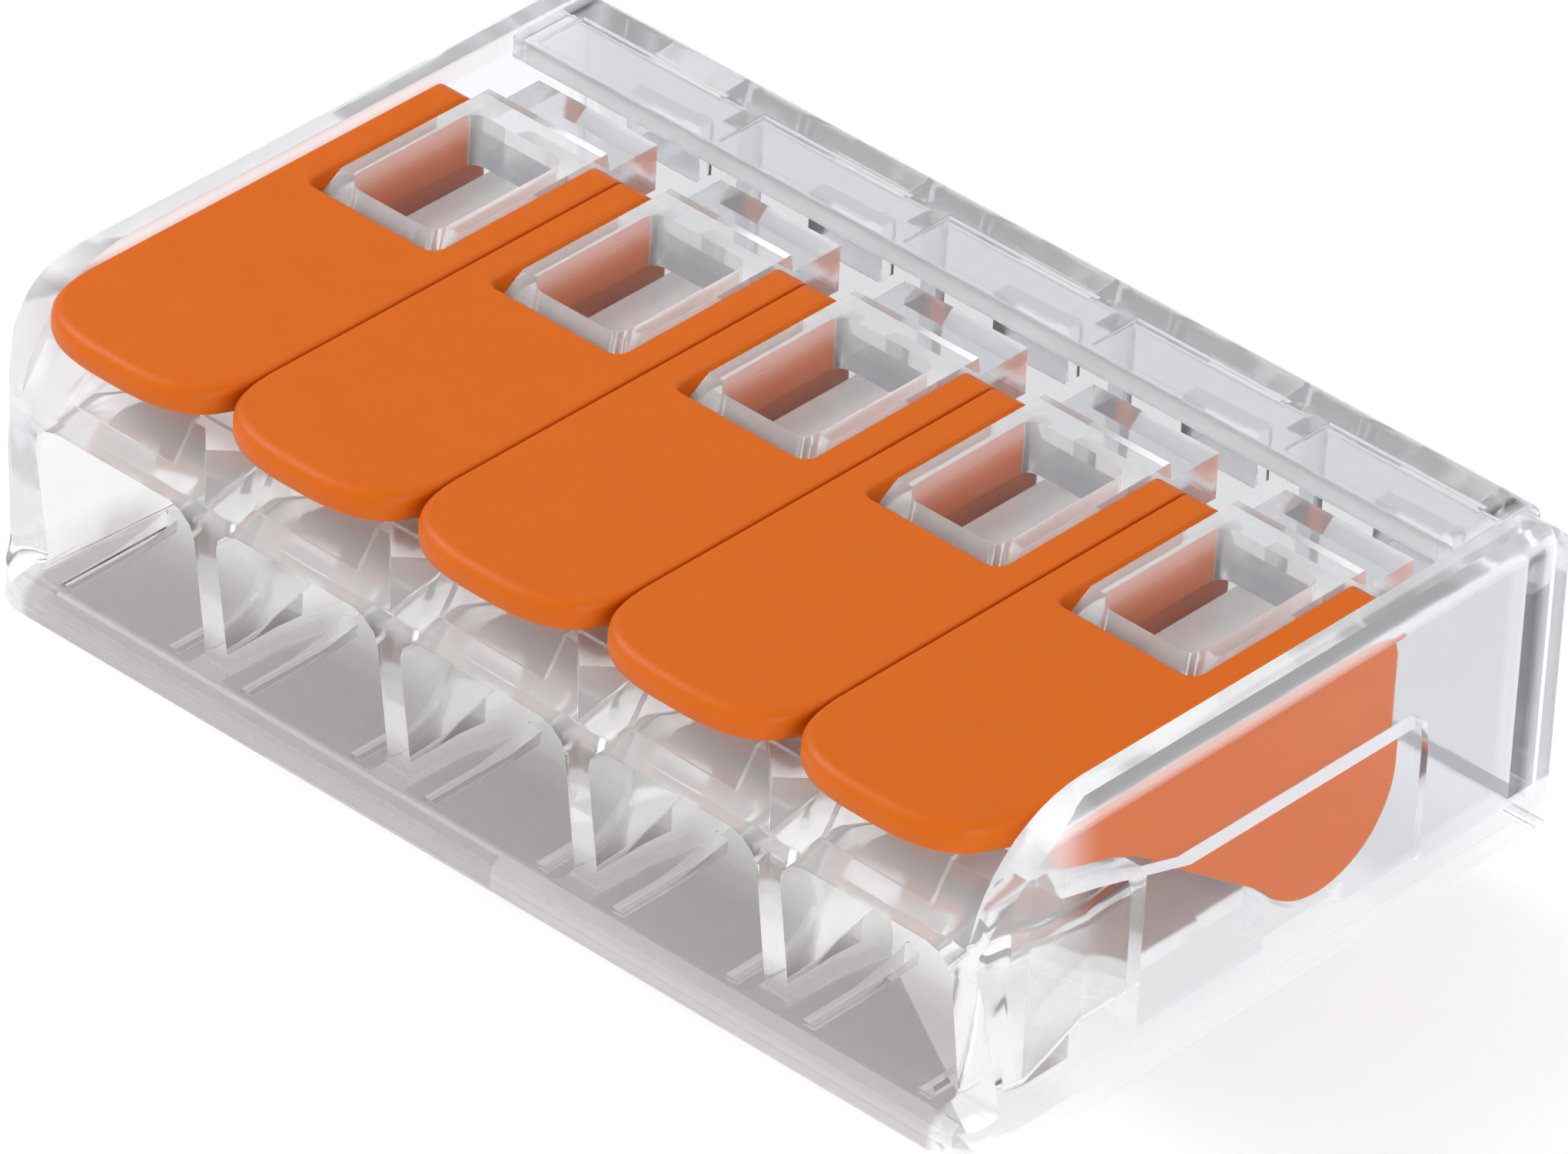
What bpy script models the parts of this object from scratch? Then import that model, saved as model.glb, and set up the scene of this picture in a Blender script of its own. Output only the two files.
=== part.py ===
"""Five-pole lever wire connector.

Frame: millimetres below, metres in Blender. X runs along the row of poles, the wire
entries face -Y, +Z is up, and the origin is the centre of the underside.
"""

import math

import bmesh
import bpy
from mathutils import Matrix, Vector

MM = 0.001
WELD = 1e-6

# Driving sizes
POLES = 5
PITCH = 5.6
WIDTH = 29.9
DEPTH = 18.6
HEIGHT = 8.4

# Housing
END_PLATE = 0.85
FLOOR = 0.85
DIVIDER = 0.55
FRONT_Y = -9.05
FRONT_LEAN = 0.55
LIP_TOP = 0.75
SHOULDER = 3.35
BROW_FOOT = (-9.05, 5.5)
BROW_HEAD = (-8.2, 6.8)
DECK_TOP = 6.8
ROOF_UNDER = 6.45
CAVITY_FRONT = -3.6
BAY_REAR = 6.3
LEDGE_TOP = 4.65
BOSS_HALF = 1.83
BOSS_TOP = 8.15
BOSS_REACH = 5.05
BOSS_REAR = 4.6
TRENCH_TOP = 7.65
WINDOW_HALF = 1.42
WINDOW_FRONT = -0.35
WINDOW_REAR = 3.7
WINDOW_ROUND = 0.35
MOUTH_HALF = 2.5
MOUTH_LOW = 1.0
MOUTH_HIGH = 5.2
RAIL_INNER = 1.5
RAIL_WIDE = 0.35
RAIL_DEEP = 0.2
THROAT_HALF = 1.8
THROAT_LOW = 1.4
THROAT_HIGH = 4.6

# Lever
LEVER_HALF = 2.77
LEVER_TOP = 8.2
LEVER_UNDER = 7.1
TIP_Y = -9.3
TIP_START = -7.15
TIP_THIN = 0.38
WINDOW_Y = -1.12
ARM_INNER = 1.98
ARM_REAR = 4.5
TAIL_ROUND = 0.9
CHEEK_INNER = 1.94
CHEEK_OUTER = 2.45
DISC_RADIUS = 2.35
PIVOT = (2.35, 3.75)
DIVIDER_RADIUS = DECK_TOP - PIVOT[1]
LEVER_OPEN = 80.0

# Contact parts
BAR_LOW = 0.95
BAR_THICK = 0.5
BAR_HALF = 1.25
FRAME_TOP = 6.3
FRAME_REAR = 5.7
STRIP = 0.3
STRIP_HALF = 1.2
BOW_RADIUS = 0.75
BOW_CENTRE = (4.15, 4.88)
LEG_ANGLE = 38.0
LEG_LENGTH = 4.1
EAR_AT = 3.2
EAR_HALF = 0.24
EAR_REACH = 1.84
CAM_INNER = 1.36
CAM_THICK = 0.55
LEG_RATIO = 0.35
CLEAR = 0.06


def clear_scene():
    for old in list(bpy.data.objects):
        bpy.data.objects.remove(old, do_unlink=True)


def new_collection(name):
    collection = bpy.data.collections.new(name)
    bpy.context.scene.collection.children.link(collection)
    return collection


def material(name, colour, roughness, metallic=0.0, alpha=1.0):
    made = bpy.data.materials.new(name)
    made.use_nodes = True
    shader = made.node_tree.nodes["Principled BSDF"]
    shader.inputs["Base Color"].default_value = (*colour, 1.0)
    shader.inputs["Roughness"].default_value = roughness
    shader.inputs["Metallic"].default_value = metallic
    shader.inputs["Alpha"].default_value = alpha
    made.diffuse_color = (*colour, alpha)
    return made


# ---------------------------------------------------------------- outlines


def arc(centre, radius, start, end, steps):
    """Points on a circle from angle start to end, in degrees."""
    points = []
    for i in range(steps + 1):
        angle = math.radians(start + (end - start) * i / steps)
        points.append((centre[0] + radius * math.cos(angle), centre[1] + radius * math.sin(angle)))
    return points


def rounded(corners, steps=4):
    """A closed outline from (a, b, radius) corners, each with its own round."""
    points = []
    count = len(corners)
    for i, (a, b, radius) in enumerate(corners):
        here = Vector((a, b))
        if radius <= 0:
            points.append((a, b))
            continue
        before = (Vector(corners[i - 1][:2]) - here).normalized()
        after = (Vector(corners[(i + 1) % count][:2]) - here).normalized()
        half = before.angle(after) / 2
        middle = here + (before + after).normalized() * (radius / math.sin(half))
        first = here + before * (radius / math.tan(half)) - middle
        turn = first.angle_signed(here + after * (radius / math.tan(half)) - middle)
        for k in range(steps + 1):
            point = middle + Matrix.Rotation(-turn * k / steps, 2) @ first
            points.append((point.x, point.y))
    return points


def turned(point, degrees, centre=(0.0, 0.0)):
    """Point turned clockwise in the Y-Z plane, the way a lever opens."""
    angle = math.radians(degrees)
    y, z = point[0] - centre[0], point[1] - centre[1]
    return (
        centre[0] + y * math.cos(angle) + z * math.sin(angle),
        centre[1] - y * math.sin(angle) + z * math.cos(angle),
    )


# ---------------------------------------------------------------- solids


def place(mesh, name, collection, finish=None, smooth=False):
    if smooth:
        mesh.shade_smooth()
        mesh.set_sharp_from_angle(angle=math.radians(35))
    made = bpy.data.objects.new(name, mesh)
    collection.objects.link(made)
    if finish:
        mesh.materials.append(finish)
    return made


def slab(name, outline, axis, low, high, collection):
    """A flat outline with thickness: (x, y) along Z, (y, z) along X or (x, z) along Y."""
    curve = bpy.data.curves.new(name, "CURVE")
    curve.dimensions = "2D"
    curve.fill_mode = "BOTH"
    curve.extrude = (high - low) / 2
    spline = curve.splines.new("POLY")
    spline.points.add(len(outline) - 1)
    for point, (a, b) in zip(spline.points, outline):
        point.co = (a, b, 0, 1)
    spline.use_cyclic_u = True
    guide = bpy.data.objects.new(name, curve)
    bpy.context.scene.collection.objects.link(guide)
    graph = bpy.context.evaluated_depsgraph_get()
    mesh = bpy.data.meshes.new_from_object(guide.evaluated_get(graph))
    bpy.data.objects.remove(guide)
    bpy.data.curves.remove(curve)
    if axis == "X":
        swing = Matrix(((0, 0, 1, 0), (1, 0, 0, 0), (0, 1, 0, 0), (0, 0, 0, 1)))
        middle = Vector(((low + high) / 2, 0, 0))
    elif axis == "Y":
        swing = Matrix(((1, 0, 0, 0), (0, 0, -1, 0), (0, 1, 0, 0), (0, 0, 0, 1)))
        middle = Vector((0, (low + high) / 2, 0))
    else:
        swing = Matrix.Identity(4)
        middle = Vector((0, 0, (low + high) / 2))
    mesh.transform(Matrix.Scale(MM, 4) @ Matrix.Translation(middle) @ swing)
    tidy = bmesh.new()
    tidy.from_mesh(mesh)
    bmesh.ops.remove_doubles(tidy, verts=tidy.verts, dist=WELD)
    bmesh.ops.dissolve_limit(
        tidy, angle_limit=math.radians(0.1), verts=tidy.verts, edges=tidy.edges
    )
    bmesh.ops.recalc_face_normals(tidy, faces=tidy.faces)
    tidy.to_mesh(mesh)
    tidy.free()
    mesh.materials.clear()
    return place(mesh, name, collection)


def block(name, low, high, collection):
    """A box between two corners."""
    mesh = bpy.data.meshes.new(name)
    shape = bmesh.new()
    bmesh.ops.create_cube(shape, size=1.0)
    size = Vector(high) - Vector(low)
    middle = (Vector(high) + Vector(low)) / 2
    bmesh.ops.scale(shape, verts=shape.verts, vec=size * MM)
    bmesh.ops.translate(shape, verts=shape.verts, vec=middle * MM)
    shape.to_mesh(mesh)
    shape.free()
    return place(mesh, name, collection)


def funnel(name, sections, collection):
    """A loft along Y through rounded rectangles (y, x, half width, low, high, low r, high r)."""
    mesh = bpy.data.meshes.new(name)
    shape = bmesh.new()
    rings = []
    for y, x, half, low, high, low_r, high_r in sections:
        corners = [
            (x - half, low, low_r),
            (x + half, low, low_r),
            (x + half, high, high_r),
            (x - half, high, high_r),
        ]
        ring = [shape.verts.new((a * MM, y * MM, b * MM)) for a, b in rounded(corners, 3)]
        rings.append(ring)
    for ring, following in zip(rings, rings[1:]):
        for i, corner in enumerate(ring):
            j = (i + 1) % len(ring)
            shape.faces.new((corner, ring[j], following[j], following[i]))
    shape.faces.new(rings[0])
    shape.faces.new(list(reversed(rings[-1])))
    bmesh.ops.recalc_face_normals(shape, faces=shape.faces)
    shape.to_mesh(mesh)
    shape.free()
    return place(mesh, name, collection)


def bevelled(target, width, segments=2, angle=40):
    bevel = target.modifiers.new("edge", "BEVEL")
    bevel.width = width * MM
    bevel.segments = segments
    bevel.limit_method = "ANGLE"
    bevel.angle_limit = math.radians(angle)
    return target


def combine(target, tool, operation):
    """Boolean of target with tool; the tool becomes a hidden wire."""
    boolean = target.modifiers.new(tool.name, "BOOLEAN")
    boolean.operation = operation
    boolean.solver = "EXACT"
    boolean.object = tool
    tool.hide_render = True
    tool.display_type = "WIRE"


def join(target, *tools):
    for tool in tools:
        combine(target, tool, "UNION")


def cut(target, *tools):
    for tool in tools:
        combine(target, tool, "DIFFERENCE")


def finish(target, name, collection, surface, origin=None):
    """The evaluated shape as a mesh of its own, with its origin on a joint axis if given."""
    bpy.context.view_layer.update()
    graph = bpy.context.evaluated_depsgraph_get()
    mesh = bpy.data.meshes.new_from_object(target.evaluated_get(graph))
    mesh.transform(target.matrix_world)
    mesh.name = name
    mesh.materials.clear()
    bpy.data.objects.remove(target)
    if origin:
        mesh.transform(Matrix.Translation(-Vector(origin) * MM))
    made = place(mesh, name, collection, surface, smooth=True)
    if origin:
        made.location = Vector(origin) * MM
    return made


def pole_x(index):
    return (index - (POLES - 1) / 2) * PITCH


POLE_X = [pole_x(i) for i in range(POLES)]
DIVIDER_X = [(a + b) / 2 for a, b in zip(POLE_X, POLE_X[1:])]


# ---------------------------------------------------------------- housing


def housing_body(tools):
    """The outer block: foot lip, leaning front, curved shoulder, rounded plan corners."""
    rear = DEPTH / 2
    shoulder = (FRONT_Y + SHOULDER, HEIGHT - SHOULDER)
    side = [(-rear, 0, 0.25), (rear, 0, 0.3), (rear, HEIGHT, 1.15)]
    side += [(y, z, 0) for y, z in arc(shoulder, SHOULDER, 90, 180, 12)]
    side += [(FRONT_Y + FRONT_LEAN, LIP_TOP + 0.5, 0.3), (-rear, LIP_TOP, 0.2)]
    body = slab("housing_body", rounded(side, 5), "X", -WIDTH / 2, WIDTH / 2, tools)
    wide, deep = WIDTH / 2, DEPTH / 2
    plan = [
        (-wide, -deep, 1.3),
        (wide, -deep, 1.3),
        (wide, deep, 0.15),
        (-wide, deep, 0.15),
    ]
    corner = slab("housing_plan", rounded(plan, 4), "Z", -1, HEIGHT + 1, tools)
    combine(body, corner, "INTERSECT")
    ends = [
        (-wide, 0, 0.25),
        (wide, 0, 0.25),
        (wide, HEIGHT, 0.55),
        (-wide, HEIGHT, 0.55),
    ]
    rim = slab("housing_rim", rounded(ends, 4), "Y", -deep - 1, deep + 1, tools)
    combine(body, rim, "INTERSECT")
    return body


def lever_bay(tools):
    """Space over the deck for the five levers, with the sloped brow under their tips."""
    inner = WIDTH / 2 - END_PLATE
    outline = [
        (-DEPTH / 2 - 1, BROW_FOOT[1]),
        BROW_FOOT,
        BROW_HEAD,
        (BAY_REAR, DECK_TOP),
        (BAY_REAR, HEIGHT + 1),
        (-DEPTH / 2 - 1, HEIGHT + 1),
    ]
    return slab("lever_bay", outline, "X", -inner, inner, tools)


def behind_dividers(tools):
    """Clears the swing of the lever arms behind the rounded dividers."""
    inner = WIDTH / 2 - END_PLATE
    py, pz = PIVOT
    outline = arc(PIVOT, DIVIDER_RADIUS, 90, 0, 8)
    outline += [
        (py + DIVIDER_RADIUS, FLOOR),
        (DEPTH / 2 + 1, FLOOR),
        (DEPTH / 2 + 1, HEIGHT + 1),
        (BAY_REAR - 0.4, HEIGHT + 1),
        (BAY_REAR - 0.4, DECK_TOP + 0.2),
        (py, DECK_TOP + 0.2),
    ]
    return slab("behind_dividers", outline, "X", -inner, inner, tools)


def end_ledges(tools):
    """Opens the bay over the low ledge along the inside of each end plate."""
    inner = WIDTH / 2 - END_PLATE
    edge = POLE_X[-1] + PITCH / 2 - DIVIDER / 2 - 0.1
    outline = [
        (-7.3, DECK_TOP + 0.3),
        (-6.6, 5.85),
        (-5.4, 5.55),
        (CAVITY_FRONT + 0.2, 4.95),
        (CAVITY_FRONT + 1.2, LEDGE_TOP),
        (BAY_REAR, LEDGE_TOP),
        (BAY_REAR, DECK_TOP + 0.3),
    ]
    cuts = []
    for side in (-1, 1):
        edges = sorted((side * edge, side * inner))
        cuts.append(slab(f"end_ledge_{side}", outline, "X", *edges, tools))
    return cuts


def pole_cuts(tools, index, x):
    """Cavity, wire funnel, skirt slots and finger recess of one pole."""
    half = PITCH / 2 - DIVIDER / 2
    cavity = block(
        f"cavity_{index}",
        (x - half, CAVITY_FRONT, FLOOR),
        (x + half, BAY_REAR, DECK_TOP + 0.3),
        tools,
    )
    mouth = funnel(
        f"wire_funnel_{index}",
        [
            (-10.0, x, MOUTH_HALF, MOUTH_LOW, MOUTH_HIGH, 0.3, 0.8),
            (-7.05, x, MOUTH_HALF - 0.1, MOUTH_LOW + 0.03, MOUTH_HIGH - 0.06, 0.3, 0.55),
            (-5.0, x, THROAT_HALF, THROAT_LOW, THROAT_HIGH, 0.3, 0.6),
            (CAVITY_FRONT + 0.2, x, THROAT_HALF, THROAT_LOW, THROAT_HIGH, 0.3, 0.6),
        ],
        tools,
    )
    cuts = [cavity, mouth]
    for side in (-1, 1):
        edges = sorted((x + side * RAIL_INNER, x + side * (RAIL_INNER + RAIL_WIDE)))
        low, high = (edges[0], -8.7, MOUTH_LOW - RAIL_DEEP), (edges[1], -5.4, MOUTH_LOW + 0.4)
        cuts.append(block(f"floor_groove_{index}_{side}", low, high, tools))
    slot = [
        (-7.3, DECK_TOP + 0.3),
        (-6.6, 5.85),
        (-5.4, 5.55),
        (CAVITY_FRONT + 0.2, 4.95),
        (CAVITY_FRONT + 0.2, DECK_TOP + 0.3),
    ]
    for side in (-1, 1):
        edges = sorted((x + side * (CHEEK_INNER - 0.09), x + side * half))
        cuts.append(slab(f"skirt_slot_{index}_{side}", slot, "X", *edges, tools))
    rise = (Vector(BROW_HEAD) - Vector(BROW_FOOT)).normalized()
    outward = Vector((-rise.y, rise.x))
    foot = Vector(BROW_FOOT) + rise * 0.5
    head = foot + rise * 2.0
    recess = [
        foot + outward * 0.4,
        foot - outward * 0.22,
        head - outward * 0.22,
        head + outward * 0.4,
    ]
    outline = [(p.x, p.y) for p in recess]
    cuts.append(slab(f"finger_recess_{index}", outline, "X", x - 1.57, x + 1.57, tools))
    return cuts


def pole_adds(tools, index, x):
    """Clear roof, window boss, and the lower step behind it that an open lever swings over."""
    py, pz = PIVOT
    low = math.degrees(math.asin((DECK_TOP + 0.65 - pz) / BOSS_REACH))
    high = math.degrees(math.asin((BOSS_TOP - pz) / BOSS_REACH))
    brow = arc(PIVOT, BOSS_REACH, 180 - low, 180 - high, 4)
    outline = [
        (CAVITY_FRONT - 0.3, ROOF_UNDER),
        (BAY_REAR - 0.05, ROOF_UNDER),
        (BAY_REAR - 0.05, TRENCH_TOP),
        (BOSS_REAR + 0.1, TRENCH_TOP),
        (BOSS_REAR, BOSS_TOP),
    ]
    outline += list(reversed(brow))
    outline += [(brow[0][0], DECK_TOP), (CAVITY_FRONT - 0.3, DECK_TOP)]
    boss = slab(f"boss_{index}", outline, "X", x - BOSS_HALF, x + BOSS_HALF, tools)
    corners = [
        (x - WINDOW_HALF, WINDOW_FRONT, WINDOW_ROUND),
        (x + WINDOW_HALF, WINDOW_FRONT, WINDOW_ROUND),
        (x + WINDOW_HALF, WINDOW_REAR, WINDOW_ROUND),
        (x - WINDOW_HALF, WINDOW_REAR, WINDOW_ROUND),
    ]
    window = slab(f"window_{index}", rounded(corners, 3), "Z", DECK_TOP, BOSS_TOP + 1, tools)
    return boss, window


def cradle(tools, index, x, side):
    """Round seat in the floor that a lever's disc turns in."""
    seat = arc(PIVOT, DISC_RADIUS + 0.08, 218, 286, 8)
    outline = [(seat[0][0], FLOOR - 0.2)] + seat + [(seat[-1][0], FLOOR - 0.2)]
    edges = sorted((x + side * (CHEEK_INNER - 0.03), x + side * (PITCH / 2 - 0.2)))
    return slab(f"cradle_{index}_{side}", outline, "X", *edges, tools)


def gusset(tools, index, x):
    """Wedge on the brow between two lever tips."""
    outline = [(x, -9.0), (x + 1.05, -8.0), (x - 1.05, -8.0)]
    return slab(f"gusset_{index}", outline, "Z", 5.2, LEVER_UNDER - 0.1, tools)


def build_housing(parts, tools, surface):
    body = housing_body(tools)
    cut(body, lever_bay(tools), behind_dividers(tools))
    windows = []
    for index, x in enumerate(POLE_X, start=1):
        cut(body, *pole_cuts(tools, index, x))
    cut(body, *end_ledges(tools))
    for index, x in enumerate(POLE_X, start=1):
        boss, window = pole_adds(tools, index, x)
        join(body, boss, cradle(tools, index, x, -1), cradle(tools, index, x, 1))
        windows.append(window)
    cut(body, *windows)
    for index, x in enumerate(DIVIDER_X, start=1):
        join(body, gusset(tools, index, x))
    inner = WIDTH / 2 - END_PLATE - 0.375
    bar_way = block(
        "bar_way", (-inner, -2.75, FLOOR), (inner, -0.15, BAR_LOW + BAR_THICK + 0.12), tools
    )
    cut(body, bar_way)
    return finish(body, "housing", parts, surface)


# ---------------------------------------------------------------- rear cover


def build_rear_cover(parts, tools, surface):
    inner = WIDTH / 2 - END_PLATE - 0.08
    front, rear, top = BAY_REAR + 0.08, DEPTH / 2, HEIGHT - 0.04
    side = [
        (front, top - 0.6, 0),
        (rear - 0.85, top - 0.6, 0.3),
        (rear - 0.85, FLOOR + 0.08, 0),
        (rear, FLOOR + 0.08, 0),
        (rear, top, 0.6),
        (front, top, 0),
    ]
    cover = slab("cover_body", rounded(side, 5), "X", -inner, inner, tools)
    for index, x in enumerate(DIVIDER_X, start=1):
        rib = block(
            f"cover_rib_{index}", (x - 0.25, 7.6, 1.4), (x + 0.25, rear - 0.4, top - 0.3), tools
        )
        join(cover, rib)
    for index, x in enumerate(POLE_X, start=1):
        low, high = (x - 2.25, front + 0.2, top - 0.1), (x + 2.25, 8.1, top + 1)
        recess = block(f"cover_recess_{index}", low, high, tools)
        low, high = (x - 1.1, rear - 1.5, 5.3), (x + 1.1, rear + 1, 6.5)
        slot = block(f"test_slot_{index}", low, high, tools)
        cut(cover, recess, slot)
    return finish(cover, "rear_cover", parts, surface)


# ---------------------------------------------------------------- busbar


def build_busbar(parts, tools, surface):
    """One tinned strip across all poles, with a bent-up frame in each pole."""
    top = BAR_LOW + BAR_THICK
    inner = POLE_X[-1] + BAR_HALF + 0.1
    bar = block("bar", (-inner, -2.6, BAR_LOW), (inner, -0.3, top), tools)
    rear = FRAME_REAR
    side = [
        (-0.6, BAR_LOW, 0),
        (rear, BAR_LOW, 0.7),
        (rear, FRAME_TOP, 0.7),
        (0.7, FRAME_TOP, 0.25),
        (0.35, FRAME_TOP - 0.35, 0),
        (0.7, FRAME_TOP - BAR_THICK - 0.12, 0.1),
        (1.1, FRAME_TOP - BAR_THICK, 0),
        (rear - BAR_THICK, FRAME_TOP - BAR_THICK, 0.2),
        (rear - BAR_THICK, top, 0.2),
        (-0.6, top, 0),
    ]
    for index, x in enumerate(POLE_X, start=1):
        frame = slab(
            f"frame_{index}", rounded(side, 3), "X", x - BAR_HALF, x + BAR_HALF, tools
        )
        join(bar, frame)
    return finish(bar, "busbar", parts, surface)


# ---------------------------------------------------------------- clamping spring


def strip_outline(centreline):
    """Both faces of a spring strip that follows a centreline."""
    points = [Vector(p) for p in centreline]
    left, right = [], []
    for i, point in enumerate(points):
        ahead = points[min(i + 1, len(points) - 1)]
        behind = points[max(i - 1, 0)]
        along = (ahead - behind).normalized()
        normal = Vector((-along.y, along.x)) * (STRIP / 2)
        left.append(tuple(point + normal))
        right.append(tuple(point - normal))
    return left + list(reversed(right))


def leg_point(distance):
    """A point on the clamping leg's centreline at rest, measured from the bow."""
    angle = math.radians(LEG_ANGLE)
    start_y = BOW_CENTRE[0] + BOW_RADIUS * math.sin(angle)
    start_z = BOW_CENTRE[1] - BOW_RADIUS * math.cos(angle)
    return (start_y - distance * math.cos(angle), start_z - distance * math.sin(angle))


def build_spring(parts, tools, surface, index, x):
    """Fixed leg under the frame's top plate, and the bow behind it."""
    path = [(1.3, BOW_CENTRE[1] + BOW_RADIUS)]
    path += arc(BOW_CENTRE, BOW_RADIUS, 90, LEG_ANGLE - 84, 10)
    foot = slab(
        f"fixed_leg_{index}", strip_outline(path), "X", x - STRIP_HALF, x + STRIP_HALF, tools
    )
    return finish(foot, f"clamp_spring_{index}", parts, surface)


def build_leg(parts, tools, surface, index, x):
    """Moving leg of one clamping spring, with an ear on each side for the lever's cams."""
    path = [leg_point(0.03), leg_point(LEG_LENGTH)]
    leg = slab(f"leg_{index}", strip_outline(path), "X", x - STRIP_HALF, x + STRIP_HALF, tools)
    ears = strip_outline([leg_point(EAR_AT - EAR_HALF), leg_point(EAR_AT + EAR_HALF)])
    join(leg, slab(f"ears_{index}", ears, "X", x - EAR_REACH, x + EAR_REACH, tools))
    return finish(leg, f"clamp_leg_{index}", parts, surface, (x, *BOW_CENTRE))


# ---------------------------------------------------------------- levers


def lever_plan(x):
    """U-shaped plan of a lever's handle and two arms, with a full rounded tip."""
    power = 2 / 2.8
    depth = TIP_START - TIP_Y
    points = []
    steps = 18
    for i in range(steps + 1):
        angle = math.pi * i / steps
        across = -math.copysign(abs(math.cos(angle)) ** power, math.cos(angle))
        points.append((x + LEVER_HALF * across, TIP_START - depth * math.sin(angle) ** power))
    inner = ARM_INNER
    points += [(x + LEVER_HALF, ARM_REAR), (x + inner, ARM_REAR)]
    points += arc((x + inner - 0.3, WINDOW_Y + 0.3), 0.3, 0, -90, 3)
    points += arc((x - inner + 0.3, WINDOW_Y + 0.3), 0.3, 270, 180, 3)
    points += [(x - inner, ARM_REAR), (x - LEVER_HALF, ARM_REAR)]
    return points


def cheek_outline():
    """Side of a lever: shallow skirt in front, running back into the pivot disc."""
    py, pz = PIVOT
    outline = [(-6.9, LEVER_UNDER + 0.4), (-6.15, 6.1), (-5.4, 5.85), (-4.5, 5.6), (-3.7, 5.25)]
    outline += arc(PIVOT, DISC_RADIUS, 216, 360, 16)
    outline += [(py + DISC_RADIUS, 6.5), (ARM_REAR - 0.1, LEVER_UNDER + 0.3)]
    return outline


def cam_outline():
    """Cam on a cheek, whose face stays behind the spring's ear as the lever opens."""
    ear = leg_point(EAR_AT)
    path = []
    for opened in range(0, int(LEVER_OPEN) + 1, 10):
        moved = turned(ear, LEG_RATIO * opened, BOW_CENTRE)
        path.append(Vector(turned(moved, -opened, PIVOT)))
    along = (path[-1] - path[0]).normalized()
    outward = Vector((along.y, -along.x))
    offset = max(outward.dot(point) for point in path)
    offset += math.hypot(EAR_HALF, STRIP / 2) + CLEAR
    low = along * (along.dot(path[0]) - 0.1) + outward * offset
    high = along * (along.dot(path[-1]) + 0.1) + outward * offset
    far = outward * CAM_THICK
    return [tuple(point) for point in (low, high, high + far, low + far)]


def build_lever(parts, tools, surface, index, x):
    handle = slab(f"handle_{index}", lever_plan(x), "Z", LEVER_UNDER, LEVER_TOP, tools)
    bevelled(handle, 0.18, 2, 50)
    thinned = [
        (TIP_Y - 0.5, LEVER_UNDER - 0.3),
        (TIP_START + 0.1, LEVER_UNDER - 0.3),
        (TIP_START + 0.1, LEVER_UNDER),
        (TIP_Y + 0.8, LEVER_UNDER + TIP_THIN * 0.8),
        (TIP_Y - 0.5, LEVER_UNDER + TIP_THIN),
    ]
    cut(handle, slab(f"thinned_{index}", thinned, "X", x - 3, x + 3, tools))
    for side in (-1, 1):
        edges = sorted((x + side * CHEEK_INNER, x + side * CHEEK_OUTER))
        join(handle, slab(f"cheek_{index}_{side}", cheek_outline(), "X", *edges, tools))
        edges = sorted((x + side * CAM_INNER, x + side * (CHEEK_INNER + 0.2)))
        join(handle, slab(f"cam_{index}_{side}", cam_outline(), "X", *edges, tools))
    tail = [(ARM_REAR + 0.5, LEVER_TOP - TAIL_ROUND)]
    tail += arc((ARM_REAR - TAIL_ROUND, LEVER_TOP - TAIL_ROUND), TAIL_ROUND, 0, 90, 6)
    tail += [(ARM_REAR - TAIL_ROUND, LEVER_TOP + 0.5), (ARM_REAR + 0.5, LEVER_TOP + 0.5)]
    cut(handle, slab(f"tail_{index}", tail, "X", x - 3, x + 3, tools))
    undercut = [
        (WINDOW_Y - 0.5, LEVER_UNDER - 0.1),
        (WINDOW_Y + 0.2, LEVER_UNDER + 0.6),
        (WINDOW_Y + 0.2, LEVER_UNDER - 0.1),
    ]
    inner = ARM_INNER - 0.06
    cut(handle, slab(f"undercut_{index}", undercut, "X", x - inner, x + inner, tools))
    return finish(handle, f"lever_{index}", parts, surface, (x, *PIVOT))


def build():
    clear_scene()
    parts = new_collection("lever_wire_connector")
    tools = new_collection("cutters")
    clear = material("clear_polycarbonate", (0.86, 0.86, 0.87), 0.08, alpha=0.35)
    orange = material("orange_lever", (0.68, 0.143, 0.018), 0.42)
    tinned = material("tinned_copper", (0.62, 0.61, 0.60), 0.35, metallic=1.0)
    steel = material("spring_steel", (0.56, 0.56, 0.57), 0.3, metallic=1.0)
    build_housing(parts, tools, clear)
    build_rear_cover(parts, tools, clear)
    build_busbar(parts, tools, tinned)
    for index, x in enumerate(POLE_X, start=1):
        build_lever(parts, tools, orange, index, x)
        build_spring(parts, tools, steel, index, x)
        build_leg(parts, tools, steel, index, x)


build()
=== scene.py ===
"""Looks of the lever wire connector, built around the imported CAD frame."""

import math

import bmesh
import bpy
from mathutils import Matrix, Vector


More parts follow.
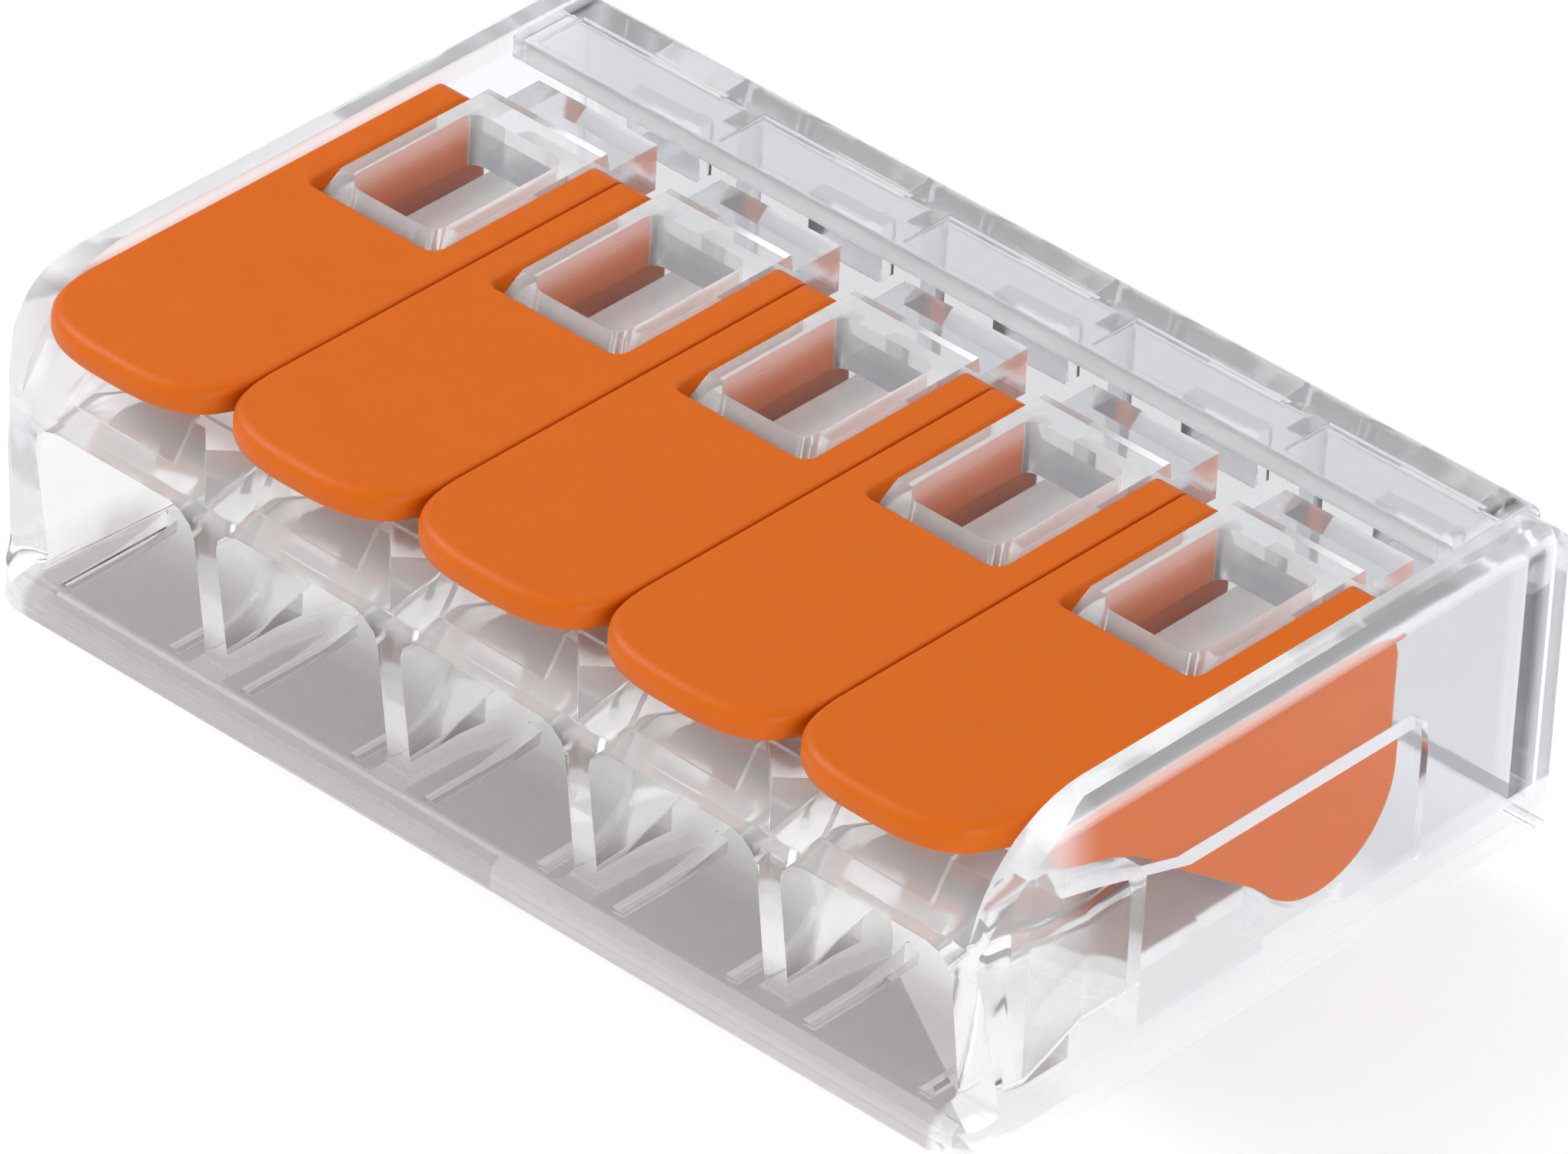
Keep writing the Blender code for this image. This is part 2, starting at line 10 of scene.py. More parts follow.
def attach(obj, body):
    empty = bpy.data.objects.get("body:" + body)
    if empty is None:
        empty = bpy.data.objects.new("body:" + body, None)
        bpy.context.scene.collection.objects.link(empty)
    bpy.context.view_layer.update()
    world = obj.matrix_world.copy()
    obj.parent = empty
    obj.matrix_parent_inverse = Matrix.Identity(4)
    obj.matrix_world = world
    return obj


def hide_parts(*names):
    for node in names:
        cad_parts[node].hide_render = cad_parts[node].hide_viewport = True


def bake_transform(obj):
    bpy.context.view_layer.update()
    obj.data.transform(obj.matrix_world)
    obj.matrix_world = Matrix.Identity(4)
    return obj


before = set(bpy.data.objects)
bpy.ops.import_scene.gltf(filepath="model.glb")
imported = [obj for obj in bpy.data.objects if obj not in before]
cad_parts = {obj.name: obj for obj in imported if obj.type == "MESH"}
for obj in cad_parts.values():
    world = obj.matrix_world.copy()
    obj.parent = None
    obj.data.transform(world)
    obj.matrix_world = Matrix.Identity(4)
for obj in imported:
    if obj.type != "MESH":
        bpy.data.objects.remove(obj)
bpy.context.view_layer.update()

# Lengths are in millimetres and angles in degrees, unless a comment says otherwise.
MM = 0.001
POLES = 5
PITCH = 5.6
POLE_X = [(i - (POLES - 1) / 2) * PITCH for i in range(POLES)]

# Edge rounding of the shapes taken from the CAD model
MOULDED_ROUND = 0.07
STAMPED_ROUND = 0.05
SHARP_ANGLE = 30
FLAT_ANGLE = 0.5
WELD = 0.001

# Rounds and shading of all pieces
ROUND_SEGMENTS = 2
SMOOTH_ANGLE = 40

# Lever, with the CAD model's sizes apart from a slightly wider handle
LEVER_HALF = 2.78
LEVER_TOP = 8.2
LEVER_UNDER = 7.1
TIP_Y = -9.3
TIP_START = -7.15
TIP_POWER = 2 / 2.8
TIP_STEPS = 32
TIP_THIN = 0.38
THIN_START = TIP_START + 0.1
THIN_LENGTH = 1.3
SIDE_SOFT = 0.13
TIP_SOFTER = 0.23
TOP_STEPS = 4
WINDOW_Y = -1.12
WINDOW_CORNER = 0.3
WINDOW_STEPS = 4
ARM_INNER = 1.98
ARM_REAR = 4.5
TAIL_ROUND = 0.9
TAIL_STEPS = 12
CHEEK_INNER = 1.94
CHEEK_OUTER = 2.45
CHEEK_ROUND = 0.08
CHEEK_ANGLE = 60
DISC_RADIUS = 2.35
DISC_START = 216
DISC_STEPS = 32
PIVOT = (2.35, 3.75)
LEVER_OPEN = 80
LEG_RATIO = 0.35
OVERSIZE = 0.5
CUT_HALF = 3

# Inset and rise of the levels that round the handle's lower edge, from below
UNDER_EDGE = ((0.165, 0.0), (0.045, 0.03), (0.0, 0.16))

# Edges of a cheek, as (y, z): from the handle to the disc, and from the disc up the rear
CHEEK_FRONT = ((-6.9, LEVER_UNDER + 0.4), (-6.15, 6.1), (-5.4, 5.85), (-4.5, 5.6), (-3.7, 5.25))
CHEEK_REAR = ((PIVOT[0] + DISC_RADIUS, 6.5), (ARM_REAR - 0.1, LEVER_UNDER + 0.3))

# Cams on the cheeks
CAM_INNER = 1.36
CAM_OVERLAP = 0.2
CAM_THICK = 0.55
CAM_MARGIN = 0.1
CAM_ROUND = 0.06
CAM_CLEAR = 0.06
CAM_TURN = 10

# Clamping spring, as in the CAD model
STRIP = 0.3
STRIP_HALF = 1.2
STRIP_ROUND = 0.04
STRIP_ANGLE = 50
FIXED_START = 1.3
FIXED_STEPS = 6
BOW_RADIUS = 0.75
BOW_CENTRE = (4.15, 4.88)
BOW_STEPS = 20
LEG_ANGLE = 38
LEG_LENGTH = 4.1
LEG_STEPS = 20
EAR_AT = 3.2
EAR_HALF = 0.24
EAR_REACH = 1.84

# Camera, fitted to the photograph's viewing angle
AZIMUTH = 41.27
ELEVATION = 34.56
ROLL = 3.05
DISTANCE = 309.0
SENSOR = 36
LENS = 324.3
SHIFT = (0.0113, -0.0145)
AIM = (0.0, 0.0, 4.2)

# Each softbox: name, direction towards it, distance, size, power in watts
SOFTBOXES = (
    ("key", (-0.69, -0.30, 0.64), 220, 90, 0.3),
    ("fill", (0.86, -0.4, 0.32), 240, 120, 0.26),
    ("rim", (0.25, 0.8, 0.55), 240, 80, 0.1),
)
WORLD_STRENGTH = 0.6
FLOOR_HALF = 600
FLOOR_GREY = 0.5
FLOOR_ROUGH = 0.9
FLOOR_GLOW = 0.5
LIGHT_BOUNCES = 24
TRANSPARENT_BOUNCES = 32

# Clear plastic: the places where it turns cloudier or greyer, or darker with painted shade at the
# low front foot, each from start to end
PLATE_EDGE = (13.5, 13.7)
PLATE_OUTER = (13.7, 14.0)
PLATE_TOP = (7.75, 7.95)
PLATE_REAR = (8.8, 9.1)
RIM_TOP = (7.3, 7.9)
RIM_REAR = (4.3, 4.8)
BROW_FRONT = (-6.0, -7.2)
BROW_TOP = (4.8, 5.3)
BEHIND_LEVERS = (4.2, 4.9)
FOOT_SHADE_LOW = (2.2, 1.4)
FOOT_SHADE_FRONT = (-5.0, -6.0)

# Clear plastic: share of light that passes in the middle and in the end plates
MIDDLE_CLEAR = 0.955
PLATE_CLEAR = 0.998

# Clear plastic: share of light lost to haze, at the start and at the end of its place
RIM_HAZE = (0.2, 0.35)
BROW_HAZE = (0.04, 0.32)
PLATE_HAZE = (0.0, 0.35)
PLATE_REAR_SHARE = 0.6

# Clear plastic: refraction and gloss, weaker than polycarbonate's 1.58
CLEAR_IOR = 1.33
CLEAR_SPECULAR = 0.2
CLEAR_SPECULAR_TINT = (0.1, 0.1, 0.1, 1)
CLEAR_SHADOW = (0.97, 0.97, 0.97, 1)

# Base colours: of the clear plastic by place, with painted shade at the low front foot, and of the
# others at both ends of their noise
MIDDLE_TINT = (0.88, 0.88, 0.885, 1)
REAR_TINT = (0.7, 0.705, 0.725, 1)
FOOT_PAINTED_SHADE = (0.46, 0.425, 0.425, 1)
PLATE_TINT = (0.88, 0.885, 0.91, 1)
ORANGES = ((0.57, 0.108, 0.0, 1), (0.59, 0.113, 0.001, 1))
ORANGE_SPECULAR = 0.2
TINS = ((0.84, 0.84, 0.84, 1), (0.92, 0.92, 0.92, 1))
TIN_METALLIC = 0.45
STEELS = ((0.5, 0.5, 0.505, 1), (0.62, 0.62, 0.63, 1))

# Roughness of each material, at the low and the high end of its noise
CLEAR_ROUGH = (0.03, 0.12)
ORANGE_ROUGH = (0.36, 0.52)
TIN_ROUGH = (0.34, 0.55)
STEEL_ROUGH = (0.22, 0.38)


# ---------------------------------------------------------------- objects


def placed(name, data):
    """A new object in the scene that shows the data."""
    made = bpy.data.objects.new(name, data)
    bpy.context.scene.collection.objects.link(made)
    return made


def meshed(name, shape):
    """A new object in the scene with the shape of a bmesh, which is freed."""
    mesh = bpy.data.meshes.new(name)
    shape.to_mesh(mesh)
    shape.free()
    return placed(name, mesh)


# ---------------------------------------------------------------- camera, light, floor


def camera():
    azimuth, elevation, roll = (math.radians(a) for a in (AZIMUTH, ELEVATION, ROLL))
    back = Vector(
        (
            math.sin(azimuth) * math.cos(elevation),
            -math.cos(azimuth) * math.cos(elevation),
            math.sin(elevation),
        )
    )
    level = Vector((math.cos(azimuth), math.sin(azimuth), 0))
    up = back.cross(level)
    right = level * math.cos(roll) + up * math.sin(roll)
    top = up * math.cos(roll) - level * math.sin(roll)
    data = bpy.data.cameras.new("camera")
    data.sensor_width = SENSOR
    data.lens = LENS
    data.shift_x, data.shift_y = SHIFT
    data.clip_start = 0.01
    data.clip_end = 10
    made = placed("camera", data)
    spot = Matrix.Translation((Vector(AIM) + back * DISTANCE) * MM)
    made.matrix_world = spot @ Matrix((right, top, back)).transposed().to_4x4()
    bpy.context.scene.camera = made


def softbox(name, direction, distance, size, power):
    """A square area light that looks at the object from a direction."""
    data = bpy.data.lights.new(name, "AREA")
    data.size = size * MM
    data.energy = power
    made = placed(name, data)
    towards = Vector(direction).normalized()
    made.location = (Vector(AIM) + towards * distance) * MM
    made.rotation_euler = towards.to_track_quat("Z", "Y").to_euler()


def pale_floor():
    """A floor that glows a little, so that it also lights the object from below."""
    shape = bmesh.new()
    bmesh.ops.create_grid(shape, x_segments=1, y_segments=1, size=FLOOR_HALF * MM)
    floor = meshed("floor", shape)
    surface, _, shader = new_material("pale_floor")
    shader.inputs["Base Color"].default_value = (FLOOR_GREY, FLOOR_GREY, FLOOR_GREY, 1)
    shader.inputs["Roughness"].default_value = FLOOR_ROUGH
    shader.inputs["Emission Color"].default_value = (1, 1, 1, 1)
    shader.inputs["Emission Strength"].default_value = FLOOR_GLOW
    floor.data.materials.append(surface)


def studio():
    world = bpy.data.worlds.new("studio")
    world.use_nodes = True
    background = world.node_tree.nodes["Background"]
    background.inputs["Color"].default_value = (1, 1, 1, 1)
    background.inputs["Strength"].default_value = WORLD_STRENGTH
    scene = bpy.context.scene
    scene.world = world
    for settings in SOFTBOXES:
        softbox(*settings)
    pale_floor()
    scene.view_settings.view_transform = "Standard"
    scene.cycles.max_bounces = LIGHT_BOUNCES
    scene.cycles.transmission_bounces = LIGHT_BOUNCES
    scene.cycles.transparent_max_bounces = TRANSPARENT_BOUNCES


# ---------------------------------------------------------------- shader nodes


def new_material(name):
    """A new material, its node tree and its shader."""
    made = bpy.data.materials.new(name)
    made.use_nodes = True
    return made, made.node_tree, made.node_tree.nodes["Principled BSDF"]


def noise(tree, scale, detail, stretch=(1, 1, 1)):
    """Noise over object space, in features per metre."""
    place = tree.nodes.new("ShaderNodeTexCoord")
    mapping = tree.nodes.new("ShaderNodeMapping")
    mapping.inputs["Scale"].default_value = stretch
    texture = tree.nodes.new("ShaderNodeTexNoise")
    texture.inputs["Scale"].default_value = scale
    texture.inputs["Detail"].default_value = detail
    tree.links.new(place.outputs["Object"], mapping.inputs["Vector"])
    tree.links.new(mapping.outputs["Vector"], texture.inputs["Vector"])
    return texture.outputs["Fac"]


def ramp(tree, factor, low, high, stops=(0.3, 0.7)):
    """One colour below the first stop, the other above the second."""
    made = tree.nodes.new("ShaderNodeValToRGB")
    for element, stop, colour in zip(made.color_ramp.elements, stops, (low, high)):
        element.position = stop
        element.color = colour
    tree.links.new(factor, made.inputs["Fac"])
    return made.outputs["Color"]


def spread(tree, factor, low, high, start=0.0, end=1.0):
    """Value from low to high as the factor goes from start to end."""
    made = tree.nodes.new("ShaderNodeMapRange")
    made.inputs["From Min"].default_value = start
    made.inputs["From Max"].default_value = end
    made.inputs["To Min"].default_value = low
    made.inputs["To Max"].default_value = high
    tree.links.new(factor, made.inputs["Value"])
    return made.outputs["Result"]


def faded(tree, coordinate, place, low=0.0, high=1.0):
    """Value from low to high as a coordinate goes through a place."""
    start, end = place
    return spread(tree, coordinate, low, high, start * MM, end * MM)


def calculated(tree, operation, *values):
    made = tree.nodes.new("ShaderNodeMath")
    made.operation = operation
    for socket, value in zip(made.inputs, values):
        tree.links.new(value, socket)
    return made.outputs["Value"]


def product(tree, first, *others):
    for other in others:
        first = calculated(tree, "MULTIPLY", first, other)
    return first


def mixed(tree, factor, colour, other):
    """The colour, turning into the other colour as the factor goes to one."""
    made = tree.nodes.new("ShaderNodeMix")
    made.data_type = "RGBA"
    tree.links.new(factor, made.inputs["Factor"])
    tree.links.new(colour, made.inputs["A"])
    made.inputs["B"].default_value = other
    return made.outputs["Result"]


def roughened(tree, shader, factor, limits):
    tree.links.new(spread(tree, factor, *limits), shader.inputs["Roughness"])


def embossed(tree, shader, height, distance, strength):
    """Bumps on the shader, with the distance in metres."""
    made = tree.nodes.new("ShaderNodeBump")
    made.inputs["Distance"].default_value = distance
    made.inputs["Strength"].default_value = strength
    tree.links.new(height, made.inputs["Height"])
    tree.links.new(made.outputs["Normal"], shader.inputs["Normal"])


# ---------------------------------------------------------------- materials


def haze(tree, across, y, z):
    """Light lost on the rims, the brow and the outer top and rear edges of the end plates."""
    rims = product(
        tree,
        faded(tree, z, RIM_TOP),
        faded(tree, across, PLATE_EDGE, 1.0, 0.0),
        faded(tree, y, RIM_REAR, *RIM_HAZE),
    )
    brow = product(tree, faded(tree, y, BROW_FRONT), faded(tree, z, BROW_TOP, *BROW_HAZE))
    rear = faded(tree, y, PLATE_REAR, 0.0, PLATE_REAR_SHARE)
    edge = calculated(tree, "MAXIMUM", faded(tree, z, PLATE_TOP), rear)
    plates = product(tree, edge, faded(tree, across, PLATE_OUTER, *PLATE_HAZE))
    return calculated(tree, "ADD", calculated(tree, "ADD", rims, brow), plates)


def clear_tint_and_shade(tree, across, y, z):
    """Greyer behind the levers, darker with painted shade at the low front foot, slightly blue in
    the end plates.
    """
    behind = faded(tree, y, BEHIND_LEVERS)
    tint = ramp(tree, behind, MIDDLE_TINT, REAR_TINT, (0.0, 1.0))
    # Painted shade: the low front of the housing, at the wire entries, turns darker and pinkish
    # grey
    foot_shade = product(tree, faded(tree, z, FOOT_SHADE_LOW), faded(tree, y, FOOT_SHADE_FRONT))
    tint = mixed(tree, foot_shade, tint, FOOT_PAINTED_SHADE)
    return mixed(tree, faded(tree, across, PLATE_EDGE), tint, PLATE_TINT)


def clear_plastic():
    """Moulded polycarbonate, whose haze and tint change with the place, with painted shade at the
    low front foot, and whose shadow is pale.
    """
    made, tree, shader = new_material("clear_polycarbonate")
    shader.inputs["IOR"].default_value = CLEAR_IOR
    shader.inputs["Specular IOR Level"].default_value = CLEAR_SPECULAR
    shader.inputs["Specular Tint"].default_value = CLEAR_SPECULAR_TINT
    place = tree.nodes.new("ShaderNodeTexCoord")
    parts = tree.nodes.new("ShaderNodeSeparateXYZ")
    tree.links.new(place.outputs["Object"], parts.inputs["Vector"])
    x, y, z = (parts.outputs[axis] for axis in "XYZ")
    across = calculated(tree, "ABSOLUTE", x)
    clear = faded(tree, across, PLATE_EDGE, MIDDLE_CLEAR, PLATE_CLEAR)
    clear = calculated(tree, "SUBTRACT", clear, haze(tree, across, y, z))
    tree.links.new(clear, shader.inputs["Transmission Weight"])
    tree.links.new(clear_tint_and_shade(tree, across, y, z), shader.inputs["Base Color"])
    roughened(tree, shader, noise(tree, scale=1800, detail=4), CLEAR_ROUGH)
    waves = noise(tree, scale=450, detail=2, stretch=(1, 0.6, 1))
    embossed(tree, shader, waves, distance=0.00003, strength=0.4)
    path = tree.nodes.new("ShaderNodeLightPath")
    through = tree.nodes.new("ShaderNodeBsdfTransparent")
    through.inputs["Color"].default_value = CLEAR_SHADOW
    mix = tree.nodes.new("ShaderNodeMixShader")
    tree.links.new(path.outputs["Is Shadow Ray"], mix.inputs["Fac"])
    tree.links.new(shader.outputs["BSDF"], mix.inputs[1])
    tree.links.new(through.outputs["BSDF"], mix.inputs[2])
    tree.links.new(mix.outputs["Shader"], tree.nodes["Material Output"].inputs["Surface"])
    return made


def orange_plastic():
    """Satin nylon with a fine eroded grain."""
    made, tree, shader = new_material("orange_lever")
    shader.inputs["Specular IOR Level"].default_value = ORANGE_SPECULAR
    tint = ramp(tree, noise(tree, scale=900, detail=4), *ORANGES)
    tree.links.new(tint, shader.inputs["Base Color"])
    roughened(tree, shader, noise(tree, scale=3000, detail=4), ORANGE_ROUGH)
    grain = noise(tree, scale=16000, detail=3)
    embossed(tree, shader, grain, distance=0.00002, strength=0.35)
    return made


def tinned_copper():
    """Dull tin plating."""
    made, tree, shader = new_material("tinned_copper")
    shader.inputs["Metallic"].default_value = TIN_METALLIC
    tint = ramp(tree, noise(tree, scale=1500, detail=5), *TINS)
    tree.links.new(tint, shader.inputs["Base Color"])
    roughened(tree, shader, noise(tree, scale=4000, detail=5), TIN_ROUGH)
    grain = noise(tree, scale=9000, detail=5)
    embossed(tree, shader, grain, distance=0.00001, strength=0.4)
    return made


def spring_steel():
    """Bare steel with streaks that run along the strip."""
    made, tree, shader = new_material("spring_steel")
    shader.inputs["Metallic"].default_value = 1.0
    streaks = noise(tree, scale=4000, detail=3, stretch=(1, 0.05, 0.05))
    tree.links.new(ramp(tree, streaks, *STEELS), shader.inputs["Base Color"])
    roughened(tree, shader, streaks, STEEL_ROUGH)
    embossed(tree, shader, streaks, distance=0.000005, strength=0.4)
    return made


# ---------------------------------------------------------------- mesh helpers


def arc(centre, radius, start, end, steps):
    points = []
    for i in range(steps + 1):
        angle = math.radians(start + (end - start) * i / steps)
        points.append((centre[0] + radius * math.cos(angle), centre[1] + radius * math.sin(angle)))
    return points


def turned(point, degrees, centre):
    """Point turned clockwise in the Y-Z plane, the way a lever opens."""
    angle = math.radians(degrees)
    y, z = point[0] - centre[0], point[1] - centre[1]
    return (
        centre[0] + y * math.cos(angle) + z * math.sin(angle),
        centre[1] - y * math.sin(angle) + z * math.cos(angle),
    )


def prism(name, outline, low, high):
    """A closed solid from a (y, z) outline, thick along X."""
    shape = bmesh.new()
    ends = [[shape.verts.new((x * MM, y * MM, z * MM)) for y, z in outline] for x in (low, high)]
    for i in range(len(outline)):
        j = (i + 1) % len(outline)
        shape.faces.new((ends[0][i], ends[0][j], ends[1][j], ends[1][i]))
    shape.faces.new(ends[0])
    shape.faces.new(list(reversed(ends[1])))
    bmesh.ops.recalc_face_normals(shape, faces=shape.faces)
    return meshed(name, shape)


def stack(name, levels):
    """A closed solid from outlines of equal length, lowest first."""
    shape = bmesh.new()
    rings = [[shape.verts.new(Vector(p) * MM) for p in level] for level in levels]
    for lower, upper in zip(rings, rings[1:]):
        for i in range(len(lower)):
            j = (i + 1) % len(lower)
            shape.faces.new((lower[i], lower[j], upper[j], upper[i]))
    shape.faces.new(list(reversed(rings[0])))
    shape.faces.new(rings[-1])
    bmesh.ops.recalc_face_normals(shape, faces=shape.faces)
    return meshed(name, shape)


def applied(target):
    """The target with its modifiers applied."""
    bpy.context.view_layer.update()
    graph = bpy.context.evaluated_depsgraph_get()
    mesh = bpy.data.meshes.new_from_object(target.evaluated_get(graph))
    target.modifiers.clear()
    target.data = mesh
    return target


def rounded(target, width, angle):
    """The target with the edges rounded that turn by more than an angle."""
    bevel = target.modifiers.new("rounded", "BEVEL")
    bevel.width = width * MM
    bevel.segments = ROUND_SEGMENTS
    bevel.limit_method = "ANGLE"
    bevel.angle_limit = math.radians(angle)
    return applied(target)


def combined(target, operation, *tools):
    """Joins the tools to the target or cuts them from it, and removes them."""
    for tool in tools:
        boolean = target.modifiers.new("combined", "BOOLEAN")
        boolean.operation = operation
        boolean.solver = "EXACT"
        boolean.object = tool
    applied(target)
    for tool in tools:
        bpy.data.objects.remove(tool)


def smooth(target):
    """Smooth rounds between flats that stay flat: normals follow the larger faces."""
    target.data.shade_smooth()
    target.data.set_sharp_from_angle(angle=math.radians(SMOOTH_ANGLE))
    weighted = target.modifiers.new("normals", "WEIGHTED_NORMAL")
    weighted.mode = "FACE_AREA"
    weighted.keep_sharp = True
    return applied(target)


def softened_copy(node, width):
    """A copy of a CAD node's shape with its edges rounded, as moulding or stamping leaves them."""
    shape = bmesh.new()
    shape.from_mesh(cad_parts[node].data)
    bmesh.ops.remove_doubles(shape, verts=shape.verts, dist=WELD * MM)
    bmesh.ops.dissolve_limit(
        shape, angle_limit=math.radians(FLAT_ANGLE), verts=shape.verts, edges=shape.edges
    )
    limit = math.radians(SHARP_ANGLE)
    sharp = [e for e in shape.edges if e.is_manifold and e.calc_face_angle(0) > limit]
    bmesh.ops.bevel(
        shape,
        geom=sharp,
        offset=width * MM,
        segments=ROUND_SEGMENTS,
        affect="EDGES",
        clamp_overlap=True,
        profile=0.5,
    )
    return meshed(node, shape)


def dress(target, name, surface, slot, body, *nodes):
    """Names a piece, gives it its material, and hangs it on its CAD body, if it has just one."""
    target.name = name
    target.data.name = name
    target.data.materials.clear()
    target.data.materials.append(surface)
    if body:
        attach(target, body)
    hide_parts(*nodes)


# ---------------------------------------------------------------- levers


def lever_plan():
    """(x, y, roundness of the upper edge) points of the handle and arms, with the tip roundest."""
    depth = TIP_START - TIP_Y
    points = []
    for i in range(TIP_STEPS + 1):
        angle = math.pi * i / TIP_STEPS
        across = -math.copysign(abs(math.cos(angle)) ** TIP_POWER, math.cos(angle))
        ahead = math.sin(angle) ** TIP_POWER
        soft = SIDE_SOFT + TIP_SOFTER * ahead
        points.append((LEVER_HALF * across, TIP_START - depth * ahead, soft))
    corner = (ARM_INNER - WINDOW_CORNER, WINDOW_Y + WINDOW_CORNER)
    right = [(LEVER_HALF, ARM_REAR), (ARM_INNER, ARM_REAR)]
    right += arc(corner, WINDOW_CORNER, 0, -90, WINDOW_STEPS)
    points += [(x, y, SIDE_SOFT) for x, y in right]
    points += [(-x, y, SIDE_SOFT) for x, y in reversed(right)]
    return points


def thinning(y):
    """How far the underside of the tip is raised, at a distance along the lever."""
    ahead = min(max(0.0, THIN_START - y) / THIN_LENGTH, 1)
    return TIP_THIN * (1 - (1 - ahead) ** 2)


def handle(x):
    """The flat handle with its two arms; its rim is rounded most at the tip."""
    plan = lever_plan()
    count = len(plan)
    inward = []
    for i in range(count):
        along = Vector(plan[(i + 1) % count][:2]) - Vector(plan[i - 1][:2])
        inward.append(Vector((-along.y, along.x)).normalized())
    levels = []
    for inset, rise in UNDER_EDGE:
        levels.append([(inset, LEVER_UNDER + rise + thinning(y)) for _, y, _ in plan])
    for step in range(TOP_STEPS + 1):
        angle = math.radians(90 * step / TOP_STEPS)
        inset, drop = 1 - math.cos(angle), 1 - math.sin(angle)
        levels.append([(soft * inset, LEVER_TOP - soft * drop) for _, _, soft in plan])
    rings = []
    for level in levels:
        ring = []
        for point, normal, (inset, z) in zip(plan, inward, level):
            place = Vector(point[:2]) + normal * inset
            ring.append((x + place.x, place.y, z))
        rings.append(ring)
    return stack("handle", rings)


def tail_outline():
    """What is cut away to round the upper rear corner of the arms."""
    corner = (ARM_REAR - TAIL_ROUND, LEVER_TOP - TAIL_ROUND)
    above, behind = LEVER_TOP + OVERSIZE, ARM_REAR + OVERSIZE
    return [
        (behind, corner[1]),
        *arc(corner, TAIL_ROUND, 0, 90, TAIL_STEPS),
        (corner[0], above),
        (behind, above),
    ]


def cheek_outline():
    """Skirt under the handle, which ends in the pivot disc."""
    disc = arc(PIVOT, DISC_RADIUS, DISC_START, 360, DISC_STEPS)
    return [*CHEEK_FRONT, *disc, *CHEEK_REAR]


def leg_point(distance):
    """A point on the clamping leg's centreline at rest, measured from the bow."""
    angle = math.radians(LEG_ANGLE)
    start_y = BOW_CENTRE[0] + BOW_RADIUS * math.sin(angle)
    start_z = BOW_CENTRE[1] - BOW_RADIUS * math.cos(angle)
    return (start_y - distance * math.cos(angle), start_z - distance * math.sin(angle))


def cam_outline():
    """Cam on a cheek, whose face stays behind the spring's ear as the lever opens."""
    ear = leg_point(EAR_AT)
    path = []
    for opened in range(0, LEVER_OPEN + 1, CAM_TURN):
        moved = turned(ear, LEG_RATIO * opened, BOW_CENTRE)
        path.append(Vector(turned(moved, -opened, PIVOT)))
    along = (path[-1] - path[0]).normalized()
    outward = Vector((along.y, -along.x))
    offset = max(outward.dot(point) for point in path)
    offset += math.hypot(EAR_HALF, STRIP / 2) + CAM_CLEAR
    low = along * (along.dot(path[0]) - CAM_MARGIN) + outward * offset
    high = along * (along.dot(path[-1]) + CAM_MARGIN) + outward * offset
    far = outward * CAM_THICK
    return [tuple(point) for point in (low, high, high + far, low + far)]


def build_lever(index, x, surface):
    lever = handle(x)
    combined(lever, "DIFFERENCE", prism("tail", tail_outline(), x - CUT_HALF, x + CUT_HALF))
    sides = []
    for side in (-1, 1):
        low, high = sorted((x + side * CHEEK_INNER, x + side * CHEEK_OUTER))
        sides.append(rounded(prism("cheek", cheek_outline(), low, high), CHEEK_ROUND, CHEEK_ANGLE))
        low, high = sorted((x + side * CAM_INNER, x + side * (CHEEK_INNER + CAM_OVERLAP)))
        sides.append(rounded(prism("cam", cam_outline(), low, high), CAM_ROUND, CHEEK_ANGLE))
    combined(lever, "UNION", *sides)
    dress(smooth(lever), f"lever_{index}_moulding", surface, "orange_lever",
          f"lever_{index}_body", f"lever_{index}")


# ---------------------------------------------------------------- clamping springs


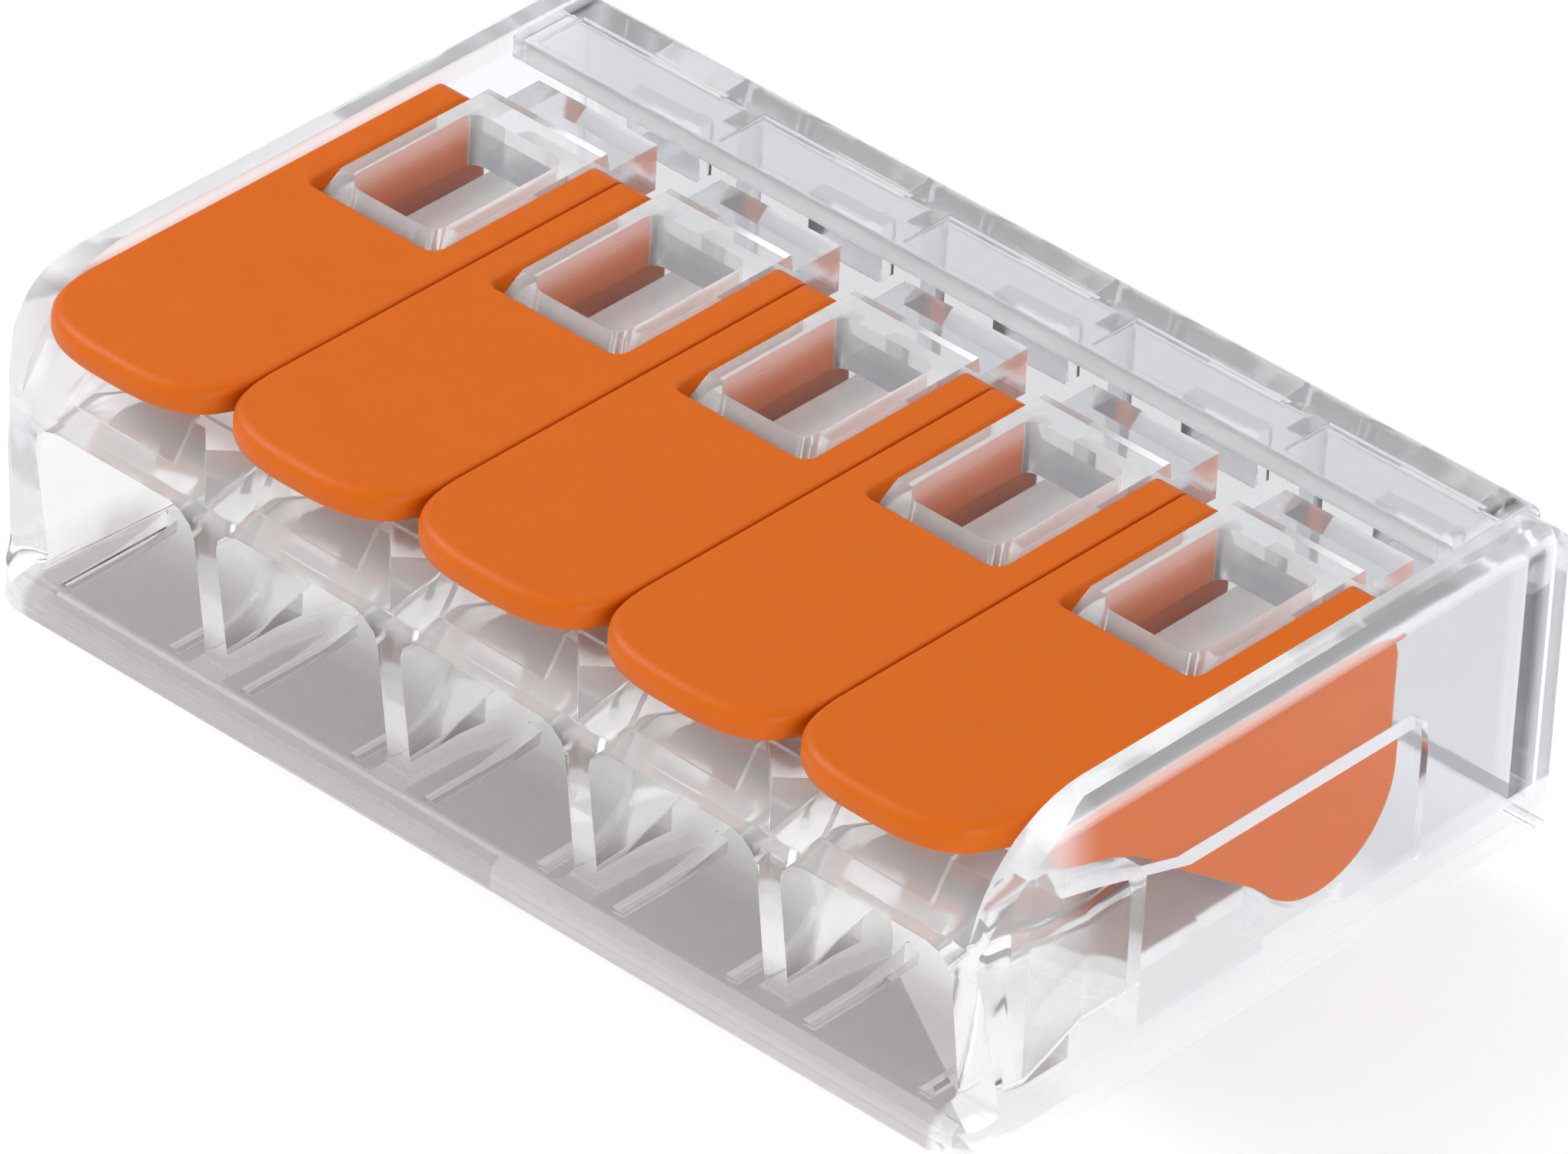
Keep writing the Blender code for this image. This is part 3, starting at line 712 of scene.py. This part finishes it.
def spring_path():
    """Centreline of one spring: fixed leg, bow, clamping leg."""
    top = BOW_CENTRE[1] + BOW_RADIUS
    length = BOW_CENTRE[0] - FIXED_START
    points = [(FIXED_START + length * i / FIXED_STEPS, top) for i in range(FIXED_STEPS)]
    points += arc(BOW_CENTRE, BOW_RADIUS, 90, LEG_ANGLE - 90, BOW_STEPS)
    points += [leg_point(LEG_LENGTH * i / LEG_STEPS) for i in range(1, LEG_STEPS + 1)]
    return points


def build_spring(index, x, surface):
    """One strip bent round, with an ear on each side of its clamping leg."""
    path = [Vector(p) for p in spring_path()]
    start = len(path) - LEG_STEPS - 1
    levels = []
    for i, point in enumerate(path):
        ahead, behind = path[min(i + 1, len(path) - 1)], path[max(i - 1, 0)]
        along = (ahead - behind).normalized()
        normal = Vector((-along.y, along.x)) * (STRIP / 2)
        ear = i > start and abs((point - path[start]).length - EAR_AT) <= EAR_HALF
        half = EAR_REACH if ear else STRIP_HALF
        levels.append(
            [
                (x - half, *(point - normal)),
                (x + half, *(point - normal)),
                (x + half, *(point + normal)),
                (x - half, *(point + normal)),
            ]
        )
    strip = smooth(rounded(stack("spring", levels), STRIP_ROUND, STRIP_ANGLE))
    dress(strip, f"clamp_spring_{index}_strip", surface, "spring_steel", None,
          f"clamp_spring_{index}", f"clamp_leg_{index}")
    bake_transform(strip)


# ---------------------------------------------------------------- the whole connector


def build():
    camera()
    studio()
    clear = clear_plastic()
    orange = orange_plastic()
    tin = tinned_copper()
    steel = spring_steel()
    body = smooth(softened_copy("housing", MOULDED_ROUND))
    dress(body, "housing_moulding", clear, "clear_polycarbonate", "base", "housing")
    cover = smooth(softened_copy("rear_cover", MOULDED_ROUND))
    dress(cover, "rear_cover_moulding", clear, "clear_polycarbonate", "base", "rear_cover")
    bar = smooth(softened_copy("busbar", STAMPED_ROUND))
    dress(bar, "busbar_strip", tin, "tinned_copper", "base", "busbar")
    for index, x in enumerate(POLE_X, start=1):
        build_lever(index, x, orange)
        build_spring(index, x, steel)


build()
